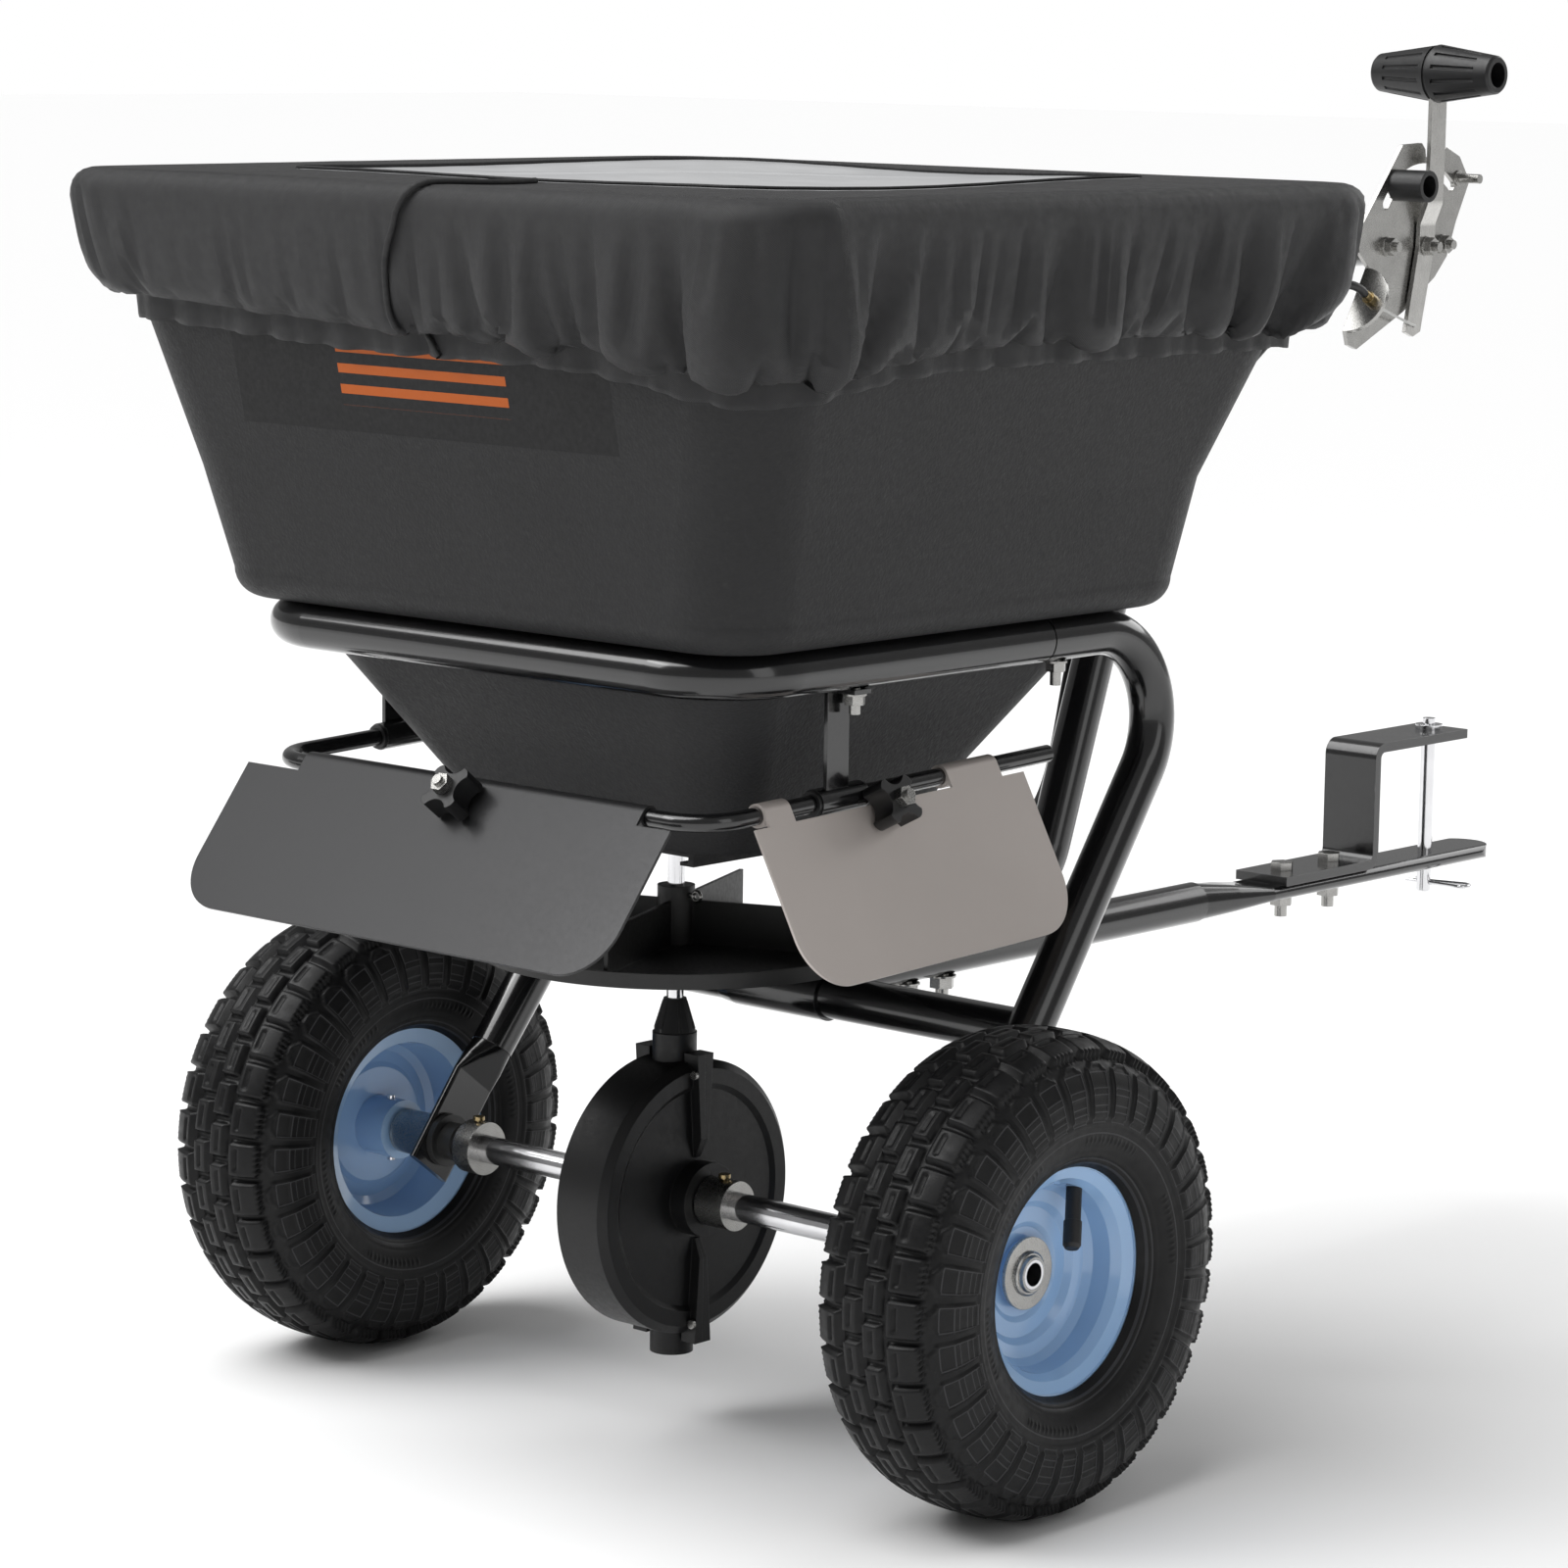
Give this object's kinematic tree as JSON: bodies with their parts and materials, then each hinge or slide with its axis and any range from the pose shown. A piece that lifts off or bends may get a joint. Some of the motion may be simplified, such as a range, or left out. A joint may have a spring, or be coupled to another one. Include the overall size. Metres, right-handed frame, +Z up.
{
  "type": "tow behind broadcast spreader",
  "caption": "Tow-behind spreader: flared hopper with fitted cover on a bent tube frame, wheel-driven impeller, side and rear deflectors, gate lever on a raised handle and a pin hitch.",
  "frame": {"origin": "on the ground, midway between the two wheels, straight below the axle", "axes": "+X to the spreader's right along the axle, +Y forwards along the tow bar, +Z up"},
  "size_m": [0.5808, 1.0125, 0.7685],
  "materials": {
    "frame_black": "gloss black powder coat",
    "bracket_grey": "dark grey gloss coat",
    "zinc": "bright zinc plate",
    "bright_pin": "bright plated steel",
    "lever_steel": "bright zinc plate",
    "black_plastic": "moulded black plastic",
    "brass": "plain brass",
    "wire_steel": "drawn steel",
    "hopper_plastic": "grained black polyethylene",
    "cover_vinyl": "coated charcoal fabric",
    "deflector_dark": "dark grey coat",
    "deflector_light": "light warm grey sheet",
    "rim_blue": "gloss light blue-grey paint",
    "tyre_rubber": "black rubber",
    "valve_rubber": "black rubber",
    "bush_grey": "sintered grey bush",
    "case_black": "satin black pressed steel",
    "gear_metal": "cut gear metal",
    "impeller_plastic": "moulded dark plastic"
  },
  "bodies": {
    "frame": {"rear_hoop": "frame_black", "side_frame_right": "frame_black", "side_frame_left": "frame_black", "cross_tube": "frame_black", "tow_sleeve": "frame_black", "tow_bar": "frame_black", "hitch_bracket": "bracket_grey", "hitch_bolts": "zinc", "post_bolts": "zinc", "m8_nuts": "zinc", "m6_nuts": "zinc", "handle_post": "frame_black", "lever_bracket": "zinc", "bracket_bolts": "zinc", "bracket_stud": "zinc", "cable_sheath": "black_plastic", "cable_ferrule": "brass", "cable_wire": "wire_steel", "hopper": "hopper_plastic", "hopper_bolts": "zinc", "hopper_cover": "cover_vinyl", "deflector_rod": "frame_black", "hanger_left": "frame_black", "hanger_right": "frame_black", "rod_bushes": "black_plastic", "axle_bushes": "bush_grey", "gear_case_front": "case_black", "gear_case_rear": "case_black", "case_screws": "zinc"},
    "drive_axle": {"axle": "bright_pin", "drive_rim": "rim_blue", "drive_tyre": "tyre_rubber", "drive_valve": "valve_rubber", "crown_gear": "gear_metal", "set_collars": "zinc", "collar_screws": "brass", "hub_washers": "zinc", "wheel_pin": "bright_pin"},
    "free_wheel": {"free_rim": "rim_blue", "free_tyre": "tyre_rubber", "free_valve": "valve_rubber", "hub_bushes": "bush_grey"},
    "impeller_drive": {"impeller": "impeller_plastic", "impeller_shaft": "bright_pin", "pinion": "gear_metal", "impeller_pin": "zinc", "agitator": "wire_steel"},
    "lever": {"control_lever": "lever_steel", "lever_grip": "black_plastic"},
    "gate": {"gate_plate": "case_black"},
    "stop": {"stop_knob": "black_plastic", "stop_screw": "zinc"},
    "rear_deflector": {"deflector_rear": "deflector_dark", "clamp_screw_rear": "zinc"},
    "rear_knob": {"knob_rear": "black_plastic"},
    "side_deflector": {"deflector_side": "deflector_light", "clamp_screw_side": "zinc"},
    "side_knob": {"knob_side": "black_plastic"},
    "pull_pin": {"hitch_pin": "bright_pin"},
    "pin_clip": {"hitch_clip": "bright_pin"}
  },
  "joints": [
    {"name": "axle_spin", "type": "hinge", "parent": "frame", "child": "drive_axle", "pos_m": [0, 0, 0.13], "axis": [1, 0, 0], "continuous": true},
    {"name": "free_wheel_spin", "type": "hinge", "parent": "frame", "child": "free_wheel", "pos_m": [0, 0, 0.13], "axis": [1, 0, 0], "continuous": true},
    {"name": "impeller_spin", "type": "hinge", "parent": "frame", "child": "impeller_drive", "pos_m": [-0.0035, 0, 0.267], "axis": [0, 0, 1], "continuous": true},
    {"name": "lever_swing", "type": "hinge", "parent": "frame", "child": "lever", "pos_m": [0, 0.674, 0.6405], "axis": [1, 0, 0], "range_deg": [-20, 10], "deforming": ["cable_wire"]},
    {"name": "gate_slide", "type": "slide", "parent": "frame", "child": "gate", "axis": [0, 1, 0], "range_m": [-0.0176, 0.0088]},
    {"name": "stop_adjust", "type": "hinge", "parent": "frame", "child": "stop", "pos_m": [0, 0.674, 0.6405], "axis": [1, 0, 0], "range_deg": [-5, 12]},
    {"name": "rear_deflector_swing", "type": "hinge", "parent": "frame", "child": "rear_deflector", "pos_m": [0, -0.157, 0.375], "axis": [1, 0, 0], "range_deg": [-60, 45]},
    {"name": "rear_knob_turn", "type": "hinge", "parent": "rear_deflector", "child": "rear_knob", "pos_m": [-0.001, -0.16408, 0.36594], "axis": [0, -0.788, 0.6157], "continuous": true},
    {"name": "side_deflector_swing", "type": "hinge", "parent": "frame", "child": "side_deflector", "pos_m": [0.163, -0.157, 0.375], "axis": [0, 0.9994, 0.035], "range_deg": [-60, 40]},
    {"name": "side_knob_turn", "type": "hinge", "parent": "side_deflector", "child": "side_knob", "pos_m": [0.16822, -0.03357, 0.36907], "axis": [0.891, -0.0159, 0.4537], "continuous": true},
    {"name": "pin_lift", "type": "slide", "parent": "frame", "child": "pull_pin", "axis": [0, 0, 1], "range_m": [0, 0.009]},
    {"name": "clip_slide", "type": "slide", "parent": "pull_pin", "child": "pin_clip", "axis": [1, 0, 0], "range_m": [0, 0.03]}
  ],
  "couplings": [
    {"joint": "impeller_spin", "follows": "axle_spin", "ratio": 6},
    {"joint": "gate_slide", "follows": "lever_swing", "m_per_rad": 0.05}
  ]
}
